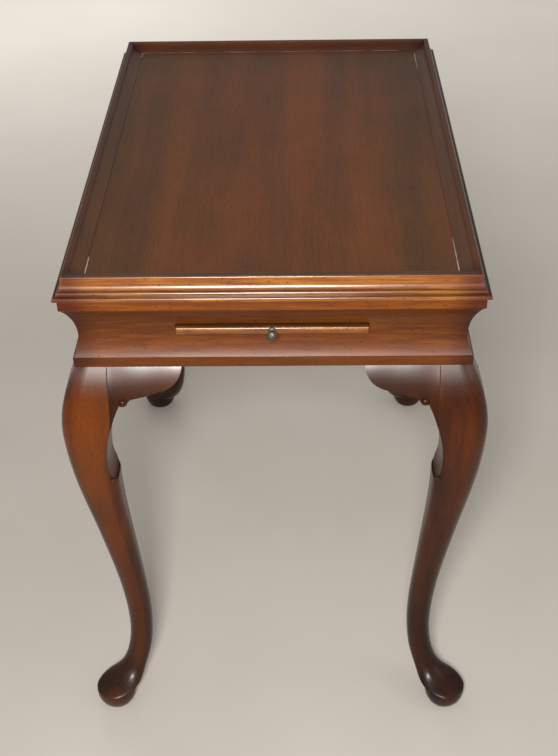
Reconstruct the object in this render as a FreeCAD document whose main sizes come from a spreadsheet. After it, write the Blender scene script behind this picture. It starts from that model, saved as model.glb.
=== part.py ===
import FreeCAD, Part
import math
import os
import Sketcher

# Tray top tea table, in millimetres. The origin is on the floor at the middle of the table, +Z is up,
# X runs across the table and Y along it, from the front end (-Y) to the back end (+Y).
# "In" and "out" are measured from the rim plane, which is the plain outer face of the tray's rim.

# Driving dimensions: alias, value, what it is.
SIZES = (
    ("table_width", 423.0, "across the rim"),
    ("table_length", 626.0, "along the rim"),
    ("table_height", 648.0, "floor to the top of the rim"),
    # rim moulding round the tray
    ("gallery_height", 25.5, "rim top to the underside of the moulding"),
    ("gallery_inset", 21.0, "rim plane to the inner edge of the moulding"),
    ("field_drop", 9.0, "rim top to the tray field"),
    ("inner_edge_step", 0.8, "inner edge of the moulding above the field"),
    ("rim_flat", 7.0, "rim plane to the inner edge of the flat top"),
    ("rim_round", 2.0, "rounding of the outer rim edge"),
    ("rim_face_height", 8.9, "rim top to the end of the plain face"),
    ("rim_cove_out", 2.6, "reach of the small cove"),
    ("rim_cove_drop", 4.3, "height of the small cove"),
    ("rim_cove_radius", 9.0, "radius of the small cove"),
    ("rim_step", 1.9, "fillet under the small cove"),
    ("ovolo_out", 2.8, "reach of the ovolo"),
    ("ovolo_drop", 2.9, "height of the ovolo"),
    ("ovolo_radius", 2.9, "radius of the ovolo"),
    ("ovolo_step", 1.6, "fillet under the ovolo"),
    ("lip_reach", 9.5, "rim plane to the edge of the lip"),
    ("lip_bead", 2.1, "radius of the bead on the lip"),
    ("lip_edge", 1.9, "height of the plain edge of the lip"),
    # tray board
    ("tongue_reach", 8.0, "board that runs under the moulding"),
    ("tongue_thickness", 8.5, "thickness of that tongue"),
    # coved rails under the tray
    ("rail_height", 86.5, "rail top to bottom"),
    ("rail_inset", 24.0, "rim plane to the inner face of a rail"),
    ("fascia_reach", 5.2, "rim plane out to the fascia"),
    ("fascia_height", 11.3, "plain band under the lip"),
    ("fascia_bevel", 2.0, "height of the bevel between fascia and cove"),
    ("cove_inset", 9.1, "rim plane in to the deepest line of the cove"),
    ("cove_drop", 50.5, "rail top to the deepest line of the cove"),
    ("cove_upper_radius", 64.0, "cove above its deepest line"),
    ("cove_lower_radius", 48.0, "cove below its deepest line"),
    ("fillet_inset", 1.6, "rim plane in to the bottom fillet"),
    ("fillet_height", 11.5, "height of the bottom fillet"),
    # legs
    ("leg_joint_inset", 36.0, "rim plane in to the leg's glue faces"),
    ("post_size", 26.0, "side of the square post inside the frame"),
    ("post_drop", 3.0, "rail top to the end of the post"),
    ("foot_out", 2.8, "rim plane out to the centre of a foot"),
    ("foot_base_radius", 19.8, "disc that stands on the floor"),
    ("foot_edge_radius", 25.0, "widest edge of the pad foot"),
    ("foot_edge_height", 23.0, "floor to the widest edge"),
    ("foot_edge_step", 0.4, "widest edge of the pad to the leg above it"),
    ("foot_bowl_radius", 32.0, "curve of the pad between disc and edge"),
    # carved scroll inside the knee
    ("scroll_inset", 27.0, "rim plane in to the deepest line of the hollow"),
    ("scroll_bend_drop", 124.0, "rail bottom down to that line"),
    ("scroll_radius", 179.0, "curve of the hollow above it"),
    ("scroll_tail_radius", 81.0, "curve of the hollow below it"),
    ("scroll_heel_inset", 30.9, "rim plane in to the start of the heel"),
    ("scroll_heel_drop", 149.0, "rail bottom down to the start of the heel"),
    ("scroll_heel", 5.0, "radius between the hollow and its ledge"),
    ("scroll_heel_width", 4.4, "heel measured across"),
    ("scroll_floor_drop", 153.0, "rail bottom down to the ledge under the hollow"),
    ("volute_drop", 40.0, "rail bottom down to the centre of the volute"),
    ("volute_offset", 2.4, "centre of the volute beyond the scroll's curve"),
    ("volute_out", 13.6, "rim plane out to the front of the volute"),
    ("volute_radius", 5.0, "radius of the volute"),
    ("bead_inset", 29.5, "rim plane in to the small bead at the end of the scroll"),
    ("bead_out", 11.5, "rim plane out to the centre of the bead"),
    ("bead_drop", 147.0, "rail bottom down to the bead"),
    ("bead_radius", 2.6, "radius of the bead"),
    # shaped blocks beside the knees
    ("return_reach", 115.0, "rim plane in to the tip"),
    ("return_nose_inset", 90.5, "rim plane in to the end of the tip's curve"),
    ("return_nose_drop", 28.0, "rail bottom down to the end of the tip's curve"),
    ("return_nose_radius", 32.0, "curve of the tip"),
    ("return_notch_gap", 3.5, "volute to the notch beside it"),
    ("return_notch_drop", 36.5, "rail bottom down to that notch"),
    ("return_belly_radius", 150.0, "underside between the tip's curve and the notch"),
    # candle slides and what carries them
    ("slide_side_inset", 112.5, "rim plane in to the side of the board"),
    ("slide_thickness", 8.2, "board thickness"),
    ("slide_drop", 45.0, "rail top down to the underside of the board"),
    ("slide_front_inset", 0.5, "rim plane in to the front edge of a closed slide"),
    ("slide_edge_round", 2.6, "rounding of the upper front edge"),
    ("slide_lower_round", 1.0, "rounding of the lower front edge"),
    ("centre_stop_length", 54.4, "fixed board between the two slides"),
    ("slide_travel", 200.0, "how far a slide pulls out"),
    ("slide_clearance", 0.3, "running clearance under the board"),
    ("slot_side_clearance", 1.2, "gap at each end of the slot"),
    ("slot_top_clearance", 0.5, "gap over the board"),
    ("guide_width", 26.0, "runner across"),
    ("guide_groove_depth", 8.0, "how far the board runs in the groove"),
    ("guide_floor", 8.0, "wood under the groove"),
    ("cleat_width", 120.0, "stop cleat across"),
    ("cleat_length", 12.0, "stop cleat along the slide"),
    ("cleat_height", 8.0, "stop cleat thickness"),
    ("knob_radius", 5.6, "head of the knob"),
    ("knob_neck_radius", 2.6, "neck of the knob"),
    ("knob_plate_radius", 4.4, "collar against the slide's edge"),
    ("knob_plate_thickness", 1.2, "thickness of the collar"),
    ("knob_plate_slope", 1.0, "length of the collar's sloping front"),
    ("knob_reach", 13.0, "how far the knob stands out"),
    ("knob_head_length", 6.5, "length of the head"),
    ("knob_stud_radius", 1.5, "stud in the slide's edge"),
    ("knob_stud_length", 14.0, "length of the stud"),
    # inside blocks and fasteners
    ("block_inset", 90.0, "rim plane in to the ends of a corner block"),
    ("block_height", 45.0, "corner block height"),
    ("block_lift", 12.0, "rail bottom to the underside of a corner block"),
    ("glue_block_length", 50.0, "tray glue block along the rail"),
    ("glue_block_side", 15.0, "tray glue block across and down"),
    ("glue_block_spacing", 200.0, "between the two blocks on a long rail"),
    ("screw_radius", 2.2, "shank of a screw"),
    ("screw_clearance", 0.1, "hole round a shank or stud"),
    ("screw_head_radius", 4.2, "head of a screw at its seat"),
    ("screw_crown_radius", 2.8, "top of the head"),
    ("screw_head_height", 2.6, "height of the round head"),
    ("guide_screw_length", 35.0, "runner screw"),
    ("guide_screw_grip", 22.0, "runner screw inside the runner"),
    ("guide_screw_spacing", 220.0, "between runner screws"),
    ("guide_screw_bore", 4.6, "radius of the bore below a runner screw's head"),
    ("corner_screw_length", 32.0, "post screw"),
)

# Sections of the cabriole leg from the foot's edge up to the rails: name, share of the leg's height,
# outer side out from the rim plane, inner side in from it, share of the half width that the outer
# corner is rounded by, and the same for the other three corners.
LEG_SECTIONS = (
    ("toe", 0.056, 12.2, 31.5, 0.98, 0.98),
    ("instep", 0.071, -0.6, 35.0, 0.98, 0.98),
    ("neck", 0.103, -11.4, 41.0, 0.98, 0.98),
    ("ankle", 0.168, -18.0, 46.8, 0.98, 0.98),
    ("low_shin", 0.261, -18.0, 48.0, 0.95, 0.95),
    ("shin", 0.354, -13.9, 45.4, 0.90, 0.90),
    ("calf", 0.466, -5.8, 41.4, 0.86, 0.84),
    ("thigh", 0.597, 5.2, 36.5, 0.82, 0.74),
    ("low_knee", 0.700, 14.2, 34.6, 0.80, 0.70),
    ("knee", 0.793, 19.8, 35.6, 0.80, 0.62),
    ("cheek", 0.840, 21.0, 36.3, 0.80, 0.34),
    ("brow", 0.881, 19.5, 36.3, 0.80, 0.07),
    ("shoulder", 0.951, 9.6, 36.3, 0.80, 0.05),
)
LEG_TOP_OUT = -2.8

# Sections of a knee return from the leg to the tip, after the one at the glue joint: name, inset from
# the rim plane, how far the face stands out, drop below the rail where its curve starts, radius.
RETURN_SECTIONS = (
    ("near", 45.0, 12.5, 64.0, 130.0),
    ("middle", 66.0, 8.0, 37.0, 66.0),
    ("flank", 82.0, 6.6, 31.0, 60.0),
    ("outer", 98.0, 5.6, 28.5, 52.0),
    ("tip", 115.0, 5.0, 28.0, 50.0),
)
JOINT_FACE_RADIUS = 190.0
FULL_ROUND = 0.985

# Corners of the table, counter-clockwise from the back right one, and the names of the blocks that
# lie along the corner's own X side and Y side.
CORNERS = (
    ("back_right", "end", "side"),
    ("back_left", "side", "end"),
    ("front_left", "end", "side"),
    ("front_right", "side", "end"),
)
ENDS = ("front", "back")
QUARTER_TURN = 90.0
CUT_MARGIN = 10.0
VOLUTE_MEETING = 0.6


class Size:
    """A number together with the spreadsheet formula that gives it."""

    def __init__(self, value, formula=None):
        self.value = float(value)
        self.formula = formula or repr(float(value))

    def __add__(self, other):
        other = as_size(other)
        return Size(self.value + other.value, f"({self.formula} + {other.formula})")

    def __sub__(self, other):
        other = as_size(other)
        return Size(self.value - other.value, f"({self.formula} - {other.formula})")

    def __mul__(self, other):
        other = as_size(other)
        return Size(self.value * other.value, f"({self.formula} * {other.formula})")

    def __truediv__(self, other):
        other = as_size(other)
        return Size(self.value / other.value, f"({self.formula} / {other.formula})")

    def __neg__(self):
        return Size(-self.value, f"(0 - {self.formula})")

    __rmul__ = __mul__
    __radd__ = __add__


def as_size(number):
    return number if isinstance(number, Size) else Size(number)


def root(size):
    return Size(math.sqrt(size.value), f"sqrt({size.formula})")


doc = FreeCAD.newDocument("tray_top_tea_table")
sheet = doc.addObject("Spreadsheet::Sheet", "sizes")
SIZE = {}


def enter_size(row, alias, value, note):
    sheet.set(f"A{row}", note)
    sheet.set(f"B{row}", str(value))
    sheet.setAlias(f"B{row}", alias)
    SIZE[alias] = Size(value, f"sizes.{alias}")


def enter_sizes():
    row = 1
    for alias, value, note in SIZES:
        enter_size(row, alias, value, note)
        row += 1
    for name, share, outer, inner, nose, arris in LEG_SECTIONS:
        enter_size(row, f"{name}_share", share, f"leg section {name}, share of the leg's height")
        enter_size(row + 1, f"{name}_outer", outer, f"leg section {name}, out to the outer side")
        enter_size(row + 2, f"{name}_inner", inner, f"leg section {name}, in to the inner side")
        enter_size(row + 3, f"{name}_nose", nose, f"leg section {name}, outer corner's share")
        enter_size(row + 4, f"{name}_arris", arris, f"leg section {name}, other corners' share")
        row += 5
    enter_size(row, "leg_top_out", LEG_TOP_OUT, "leg top, outer side out from the rim plane")
    enter_size(row + 1, "joint_face_radius", JOINT_FACE_RADIUS, "face of a return at the glue joint")
    row += 2
    for name, inset, out, drop, radius in RETURN_SECTIONS:
        enter_size(row, f"return_{name}_inset", inset, f"return section {name}, in from the rim plane")
        enter_size(row + 1, f"return_{name}_out", out, f"return section {name}, face out")
        enter_size(row + 2, f"return_{name}_drop", drop, f"return section {name}, start of its curve")
        enter_size(row + 3, f"return_{name}_radius", radius, f"return section {name}, curve of its face")
        row += 4
    doc.recompute()


enter_sizes()

# Levels and planes that several pieces share.
rim_top = SIZE["table_height"]
rail_top = rim_top - SIZE["gallery_height"]
rail_bottom = rail_top - SIZE["rail_height"]
field_level = rim_top - SIZE["field_drop"]
half_width = SIZE["table_width"] / 2
half_length = SIZE["table_length"] / 2
rail_inset = SIZE["rail_inset"]
post_inner = rail_inset + SIZE["post_size"]
joint_inset = SIZE["leg_joint_inset"]
scroll_bend = rail_bottom - SIZE["scroll_bend_drop"]
scroll_floor = rail_bottom - SIZE["scroll_floor_drop"]
volute_level = rail_bottom - SIZE["volute_drop"]
brow_level = rail_bottom * SIZE["brow_share"]
slide_half = half_width - SIZE["slide_side_inset"]
slide_length = (half_length - SIZE["slide_front_inset"] - SIZE["centre_stop_length"] / 2
                - SIZE["slide_clearance"])
slide_bottom = rail_top - SIZE["slide_drop"]
slide_top = slide_bottom + SIZE["slide_thickness"]
groove_bottom = slide_bottom - SIZE["slide_clearance"]
groove_top = slide_top + SIZE["slot_top_clearance"]
groove_side = slide_half + SIZE["slot_side_clearance"]
guide_inner = slide_half - SIZE["guide_groove_depth"]
guide_outer = guide_inner + SIZE["guide_width"]
guide_bottom = groove_bottom - SIZE["guide_floor"]
screw_hole = SIZE["screw_radius"] + SIZE["screw_clearance"]


# ---------------------------------------------------------------------------------------------------
# Helpers
# ---------------------------------------------------------------------------------------------------

def bind(obj, prop, size):
    obj.setExpression(prop, size.formula)


def place(obj, x, y, z, yaw=0.0):
    """Put an object at sizes from the sheet, turned about the vertical."""
    turn = FreeCAD.Rotation(FreeCAD.Vector(0, 0, 1), yaw)
    spot = [as_size(x), as_size(y), as_size(z)]
    obj.Placement = FreeCAD.Placement(FreeCAD.Vector(*[size.value for size in spot]), turn)
    for axis, size in zip("xyz", spot):
        bind(obj, f".Placement.Base.{axis}", size)


def new_body(name):
    body = doc.addObject("PartDesign::Body", name)
    body.Label = name
    return body


def plane_of(body, role):
    return next(item for item in body.Origin.OriginFeatures if item.Role == role)


def new_sketch(body, name, role, offset=None):
    """A sketch on one of the body's own planes, moved along the plane's X, Y and normal."""
    sketch = body.newObject("Sketcher::SketchObject", name)
    sketch.AttachmentSupport = [(plane_of(body, role), "")]
    sketch.MapMode = "FlatFace"
    if offset:
        spot = [as_size(size) for size in offset]
        sketch.AttachmentOffset.Base = FreeCAD.Vector(*[size.value for size in spot])
        for axis, size in zip("xyz", spot):
            bind(sketch, f"AttachmentOffset.Base.{axis}", size)
    return sketch


def point(corner):
    return FreeCAD.Vector(as_size(corner[0]).value, as_size(corner[1]).value, 0)


def arc_between(first, last, radius):
    """The shorter arc from first to last. A positive radius turns left on the way, a negative one right."""
    chord = last - first
    half = chord.Length / 2
    reach = math.sqrt(max(radius * radius - half * half, 0.0))
    left = FreeCAD.Vector(-chord.y, chord.x, 0).normalize()
    centre = first + chord * 0.5 + left * math.copysign(reach, radius)
    begin, finish = (first, last) if radius > 0 else (last, first)
    start_angle = math.atan2(begin.y - centre.y, begin.x - centre.x)
    end_angle = math.atan2(finish.y - centre.y, finish.x - centre.x)
    circle = Part.Circle(centre, FreeCAD.Vector(0, 0, 1), abs(radius))
    return Part.ArcOfCircle(circle, start_angle, end_angle)


def add_bound(sketch, constraint, size):
    index = sketch.addConstraint(constraint)
    sketch.setExpression(f"Constraints[{index}]", size.formula)


def draw_outline(sketch, corners):
    """A closed outline. A corner is (across, up), or (across, up, radius) where an arc ends there."""
    begin_end = []
    for index, corner in enumerate(corners):
        first = point(corners[index - 1])
        last = point(corner)
        if len(corner) == 2:
            geometry = sketch.addGeometry(Part.LineSegment(first, last))
            begin_end.append((geometry, 1, 2))
            continue
        radius = as_size(corner[2])
        geometry = sketch.addGeometry(arc_between(first, last, radius.value))
        begin_end.append((geometry, 1, 2) if radius.value > 0 else (geometry, 2, 1))
    for index, (geometry, start, finish) in enumerate(begin_end):
        before, _, before_finish = begin_end[index - 1]
        joined = Sketcher.Constraint("Coincident", before, before_finish, geometry, start)
        sketch.addConstraint(joined)
    for corner, (geometry, _, finish) in zip(corners, begin_end):
        spot = point(corner)
        across = Sketcher.Constraint("DistanceX", -1, 1, geometry, finish, spot.x)
        add_bound(sketch, across, as_size(corner[0]))
        up = Sketcher.Constraint("DistanceY", -1, 1, geometry, finish, spot.y)
        add_bound(sketch, up, as_size(corner[1]))
        if len(corner) == 3:
            radius = as_size(corner[2])
            size = radius if radius.value > 0 else -radius
            bend = Sketcher.Constraint("Radius", geometry, size.value)
            add_bound(sketch, bend, size)


def draw_box(sketch, left, bottom, right, top):
    draw_outline(sketch, [(left, bottom), (right, bottom), (right, top), (left, top)])


def draw_circle(sketch, across, up, radius):
    spot = point((across, up))
    circle = Part.Circle(spot, FreeCAD.Vector(0, 0, 1), as_size(radius).value)
    geometry = sketch.addGeometry(circle)
    to_centre = Sketcher.Constraint("DistanceX", -1, 1, geometry, 3, spot.x)
    add_bound(sketch, to_centre, as_size(across))
    up_centre = Sketcher.Constraint("DistanceY", -1, 1, geometry, 3, spot.y)
    add_bound(sketch, up_centre, as_size(up))
    size = Sketcher.Constraint("Radius", geometry, as_size(radius).value)
    add_bound(sketch, size, as_size(radius))


def pad(body, name, sketch, length, symmetric=False, reverse=False):
    feature = body.newObject("PartDesign::Pad", name)
    feature.Profile = sketch
    feature.SideType = "Symmetric" if symmetric else "One side"
    feature.Reversed = reverse
    bind(feature, "Length", as_size(length))
    return feature


def pocket_through(body, name, sketch):
    feature = body.newObject("PartDesign::Pocket", name)
    feature.Profile = sketch
    feature.Type = "ThroughAll"
    feature.SideType = "Symmetric"
    return feature


def pocket_deep(body, name, sketch, depth, reverse=False):
    feature = body.newObject("PartDesign::Pocket", name)
    feature.Profile = sketch
    feature.Reversed = reverse
    bind(feature, "Length", as_size(depth))
    return feature


def revolve(body, name, sketch):
    feature = body.newObject("PartDesign::Revolution", name)
    feature.Profile = sketch
    feature.ReferenceAxis = (sketch, ["V_Axis"])
    feature.Angle = 360.0
    return feature


def add_sphere(body, name, x, y, z, radius):
    feature = body.newObject("PartDesign::AdditiveSphere", name)
    feature.AttachmentSupport = [(plane_of(body, "XY_Plane"), "")]
    feature.MapMode = "FlatFace"
    for axis, size in zip("xyz", (x, y, z)):
        bind(feature, f"AttachmentOffset.Base.{axis}", as_size(size))
    bind(feature, "Radius", as_size(radius))
    return feature


def drill(body, name, x, y, z, radius, depth, pitch=0.0, yaw=0.0):
    """A round hole from a point, up the vertical turned by pitch about Y and then by yaw about Z."""
    feature = body.newObject("PartDesign::SubtractiveCylinder", name)
    feature.AttachmentSupport = [(plane_of(body, "XY_Plane"), "")]
    feature.MapMode = "FlatFace"
    turn = FreeCAD.Rotation(yaw, pitch, 0.0)
    feature.AttachmentOffset = FreeCAD.Placement(FreeCAD.Vector(0, 0, 0), turn)
    for axis, size in zip("xyz", (x, y, z)):
        bind(feature, f"AttachmentOffset.Base.{axis}", as_size(size))
    bind(feature, "Radius", as_size(radius))
    bind(feature, "Height", as_size(depth))
    return feature


# ---------------------------------------------------------------------------------------------------
# Mitred mouldings and rails. Their own frame: X along the piece, Y inward from the rim plane, Z up.
# ---------------------------------------------------------------------------------------------------

def mitre_ends(body, half_run, reach_out, reach_in):
    """Cut both ends at 45 degrees through the corner of the rim plane."""
    sketch = new_sketch(body, f"{body.Name}_mitres", "XY_Plane")
    outer = -(reach_out + CUT_MARGIN)
    inner = reach_in + CUT_MARGIN
    for side in (1.0, -1.0):
        far = half_run + reach_out + CUT_MARGIN * 2
        corners = [
            ((half_run - outer) * side, outer),
            (far * side, outer),
            (far * side, inner),
            ((half_run - inner) * side, inner),
        ]
        draw_outline(sketch, corners)
    pocket_through(body, f"{body.Name}_mitre_cuts", sketch)


def gallery_profile():
    """Rim moulding in section: across is inward from the rim plane, up is the height over the floor."""
    face_end = rim_top - SIZE["rim_face_height"]
    cove_end = face_end - SIZE["rim_cove_drop"]
    cove_out = SIZE["rim_cove_out"]
    ovolo_start = cove_end - SIZE["rim_step"]
    ovolo_out = cove_out + SIZE["ovolo_out"]
    ovolo_end = ovolo_start - SIZE["ovolo_drop"]
    bead_start = ovolo_end - SIZE["ovolo_step"]
    bead_in = SIZE["lip_reach"] - SIZE["lip_bead"]
    bead_end = bead_start - SIZE["lip_bead"]
    edge_end = bead_end - SIZE["lip_edge"]
    inset = SIZE["gallery_inset"]
    inner_edge = field_level + SIZE["inner_edge_step"]
    cove_width = inset - SIZE["rim_flat"]
    cove_height = rim_top - inner_edge
    inner_radius = (cove_width * cove_width + cove_height * cove_height) / (cove_height * 2)
    tongue_inset = inset - SIZE["tongue_reach"]
    tongue_top = rail_top + SIZE["tongue_thickness"]
    round_start = SIZE["rim_round"]
    return [
        (round_start, rim_top),
        (0, rim_top - round_start, round_start),
        (0, face_end),
        (-cove_out, cove_end, -SIZE["rim_cove_radius"]),
        (-cove_out, ovolo_start),
        (-ovolo_out, ovolo_end, SIZE["ovolo_radius"]),
        (-ovolo_out, bead_start),
        (-bead_in, bead_start),
        (-SIZE["lip_reach"], bead_end, SIZE["lip_bead"]),
        (-SIZE["lip_reach"], edge_end),
        (-SIZE["fascia_reach"], rail_top),
        (tongue_inset, rail_top),
        (tongue_inset, tongue_top),
        (inset, tongue_top),
        (inset, inner_edge),
        (SIZE["rim_flat"], rim_top, -inner_radius),
    ]


def rail_profile():
    """Coved rail in section, in the same frame as the rim moulding."""
    fascia_end = rail_top - SIZE["fascia_height"]
    bevel_end = fascia_end - SIZE["fascia_bevel"]
    cove_level = rail_top - SIZE["cove_drop"]
    fillet_top = rail_bottom + SIZE["fillet_height"]
    upper = SIZE["cove_upper_radius"]
    lower = SIZE["cove_lower_radius"]
    rise = bevel_end - cove_level
    fall = cove_level - fillet_top
    cove_top_inset = SIZE["cove_inset"] - upper + root(upper * upper - rise * rise)
    cove_bottom_inset = SIZE["cove_inset"] - lower + root(lower * lower - fall * fall)
    return [
        (rail_inset, rail_top),
        (-SIZE["fascia_reach"], rail_top),
        (-SIZE["fascia_reach"], fascia_end),
        (cove_top_inset, bevel_end),
        (SIZE["cove_inset"], cove_level, -upper),
        (cove_bottom_inset, fillet_top, -lower),
        (SIZE["fillet_inset"], fillet_top),
        (SIZE["fillet_inset"], rail_bottom),
        (rail_inset, rail_bottom),
    ]


def make_moulding(name, corners, half_run, distance, yaw, reach_in):
    body = new_body(name)
    sketch = new_sketch(body, f"{name}_profile", "YZ_Plane")
    draw_outline(sketch, corners)
    reach_out = SIZE["lip_reach"]
    pad(body, f"{name}_run", sketch, (half_run + reach_out + CUT_MARGIN) * 2, symmetric=True)
    mitre_ends(body, half_run, reach_out, reach_in)
    side = FreeCAD.Rotation(FreeCAD.Vector(0, 0, 1), yaw).multVec(FreeCAD.Vector(0, -1, 0))
    place(body, distance * round(side.x), distance * round(side.y), 0, yaw)
    return body


def cut_slide_slot(body):
    """The slot that a candle slide passes through, cut right through an end rail."""
    sketch = new_sketch(body, f"{body.Name}_slot", "XZ_Plane")
    draw_box(sketch, -groove_side, groove_bottom, groove_side, groove_top)
    pocket_through(body, f"{body.Name}_slot_cut", sketch)


def make_frame():
    pieces = []
    runs = (
        ("front", half_width, half_length, 0.0),
        ("right", half_length, half_width, QUARTER_TURN),
        ("back", half_width, half_length, 2 * QUARTER_TURN),
        ("left", half_length, half_width, 3 * QUARTER_TURN),
    )
    for side, half_run, distance, yaw in runs:
        inset = SIZE["gallery_inset"]
        rim = make_moulding(f"gallery_{side}", gallery_profile(), half_run, distance, yaw, inset)
        rail = make_moulding(f"apron_{side}", rail_profile(), half_run, distance, yaw, rail_inset)
        if side in ENDS:
            cut_slide_slot(rail)
        pieces += [rim, rail]
    return pieces


# ---------------------------------------------------------------------------------------------------
# Tray board
# ---------------------------------------------------------------------------------------------------

def make_tray_panel():
    body = new_body("tray_panel")
    tongue_inset = SIZE["gallery_inset"] - SIZE["tongue_reach"]
    layers = (
        ("tongue", tongue_inset, rail_top, SIZE["tongue_thickness"]),
        ("field", SIZE["gallery_inset"], rail_top, field_level - rail_top),
    )
    for name, inset, level, thickness in layers:
        sketch = new_sketch(body, f"tray_{name}_outline", "XY_Plane", (0, 0, level))
        across = half_width - inset
        along = half_length - inset
        draw_box(sketch, -across, -along, across, along)
        pad(body, f"tray_{name}", sketch, thickness)
    return body


# ---------------------------------------------------------------------------------------------------
# Cabriole legs. Their own frame: the corner of the rim planes, with X and Y pointing out of the table.
# ---------------------------------------------------------------------------------------------------

def draw_leg_section(sketch, inner, outer, nose, arris):
    """A square from inner to outer in both directions with rounded corners, the outer one apart."""
    low = inner.value
    high = outer.value
    corner_radii = (arris, arris, nose, arris)
    spots = ((low, low), (high, low), (high, high), (low, high))
    ways = ((1, 0), (0, 1), (-1, 0), (0, -1))
    lines = []
    arcs = []
    for index in range(4):
        here = FreeCAD.Vector(*spots[index], 0)
        there = FreeCAD.Vector(*spots[(index + 1) % 4], 0)
        way = FreeCAD.Vector(*ways[index], 0)
        start = here + way * corner_radii[index].value
        finish = there - way * corner_radii[(index + 1) % 4].value
        lines.append(sketch.addGeometry(Part.LineSegment(start, finish)))
        turn = corner_radii[(index + 1) % 4].value
        next_way = FreeCAD.Vector(*ways[(index + 1) % 4], 0)
        arcs.append(sketch.addGeometry(arc_between(finish, there + next_way * turn, turn)))
    for index in range(4):
        following = lines[(index + 1) % 4]
        sketch.addConstraint(Sketcher.Constraint("Tangent", lines[index], 2, arcs[index], 1))
        sketch.addConstraint(Sketcher.Constraint("Tangent", arcs[index], 2, following, 1))
        kind = "Horizontal" if index % 2 == 0 else "Vertical"
        sketch.addConstraint(Sketcher.Constraint(kind, lines[index]))
        radius = corner_radii[(index + 1) % 4]
        add_bound(sketch, Sketcher.Constraint("Radius", arcs[index], radius.value), radius)
    add_bound(sketch, Sketcher.Constraint("DistanceY", -1, 1, lines[0], 1, low), inner)
    add_bound(sketch, Sketcher.Constraint("DistanceX", -1, 1, lines[1], 1, high), outer)
    add_bound(sketch, Sketcher.Constraint("DistanceY", -1, 1, lines[2], 1, high), outer)
    add_bound(sketch, Sketcher.Constraint("DistanceX", -1, 1, lines[3], 1, low), inner)


def leg_sections():
    """Height, inner side, outer side and corner radii of every section, from the foot up."""
    edge = SIZE["foot_edge_radius"] - SIZE["foot_edge_step"]
    rows = [(SIZE["foot_edge_height"], SIZE["foot_out"] - edge, SIZE["foot_out"] + edge,
             edge * FULL_ROUND, edge * FULL_ROUND)]
    for name, *_ in LEG_SECTIONS:
        inner = -SIZE[f"{name}_inner"]
        outer = SIZE[f"{name}_outer"]
        half = (outer - inner) / 2
        rows.append((rail_bottom * SIZE[f"{name}_share"], inner, outer,
                     half * SIZE[f"{name}_nose"], half * SIZE[f"{name}_arris"]))
    top_half = (SIZE["leg_top_out"] + joint_inset) / 2
    rows.append((rail_bottom, -joint_inset, SIZE["leg_top_out"],
                 top_half * SIZE["shoulder_nose"], top_half * SIZE["shoulder_arris"]))
    return rows


def scroll_inset_at(level):
    """How far in the scroll's upper curve is at a level above its deepest line."""
    radius = SIZE["scroll_radius"]
    rise = level - scroll_bend
    return SIZE["scroll_inset"] + radius - root(radius * radius - rise * rise)


def scroll_hollow():
    """Outline cut out inside the knee: ledge, heel, tail curve, upper curve up to the volute."""
    far = -(post_inner + CUT_MARGIN)
    heel_inset = SIZE["scroll_heel_inset"]
    return [
        (far, scroll_floor),
        (-(heel_inset + SIZE["scroll_heel_width"]), scroll_floor),
        (-heel_inset, rail_bottom - SIZE["scroll_heel_drop"], SIZE["scroll_heel"]),
        (-SIZE["scroll_inset"], scroll_bend, SIZE["scroll_tail_radius"]),
        (-scroll_inset_at(volute_level), volute_level, SIZE["scroll_radius"]),
        (far, volute_level),
    ]


def plane_glue_faces(body):
    """Trim the two faces that the knee returns are glued to down to their plane."""
    level = scroll_bend
    sketch = new_sketch(body, f"{body.Name}_glue_faces", "XY_Plane", (0, 0, level))
    far = -(joint_inset + CUT_MARGIN)
    front = SIZE["knee_outer"] + CUT_MARGIN
    draw_box(sketch, far, -rail_inset, -joint_inset, front)
    draw_box(sketch, -rail_inset, far, front, -joint_inset)
    pocket_deep(body, f"{body.Name}_glue_trim", sketch, rail_bottom - level, reverse=True)


def make_leg(name, yaw, x, y):
    body = new_body(name)
    sketches = []
    for index, (height, inner, outer, nose, arris) in enumerate(leg_sections()):
        sketch = new_sketch(body, f"{name}_section_{index}", "XY_Plane", (0, 0, height))
        draw_leg_section(sketch, inner, outer, nose, arris)
        sketches.append(sketch)
    shape = body.newObject("PartDesign::AdditiveLoft", f"{name}_sweep")
    shape.Profile = sketches[0]
    shape.Sections = sketches[1:]

    foot = new_sketch(body, f"{name}_foot_profile", "XZ_Plane", (SIZE["foot_out"], 0, -SIZE["foot_out"]))
    edge_height = SIZE["foot_edge_height"]
    draw_outline(foot, [
        (0, 0),
        (SIZE["foot_base_radius"], 0),
        (SIZE["foot_edge_radius"], edge_height, SIZE["foot_bowl_radius"]),
        (0, edge_height),
    ])
    revolve(body, f"{name}_foot", foot)

    post = new_sketch(body, f"{name}_post_outline", "XY_Plane", (0, 0, scroll_bend))
    draw_box(post, -post_inner, -post_inner, -rail_inset, -rail_inset)
    pad(body, f"{name}_post", post, rail_top - SIZE["post_drop"] - scroll_bend)

    plane_glue_faces(body)
    for plane in ("XZ_Plane", "YZ_Plane"):
        hollow = new_sketch(body, f"{name}_hollow_{plane[:2]}", plane)
        draw_outline(hollow, scroll_hollow())
        pocket_through(body, f"{name}_hollow_cut_{plane[:2]}", hollow)

    along = -SIZE["bead_inset"]
    face = SIZE["bead_out"]
    level = rail_bottom - SIZE["bead_drop"]
    add_sphere(body, f"{name}_bead_x", along, face, level, SIZE["bead_radius"])
    add_sphere(body, f"{name}_bead_y", face, along, level, SIZE["bead_radius"])

    drill_post(body)
    place(body, x, y, 0, yaw)
    return body


def corner_screw_spot():
    """Where the post screw's head sits on the face of the corner block, in both directions."""
    return -(SIZE["block_inset"] + rail_inset) / 2


def corner_screw_level():
    return rail_bottom + SIZE["block_lift"] + SIZE["block_height"] / 2


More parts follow.
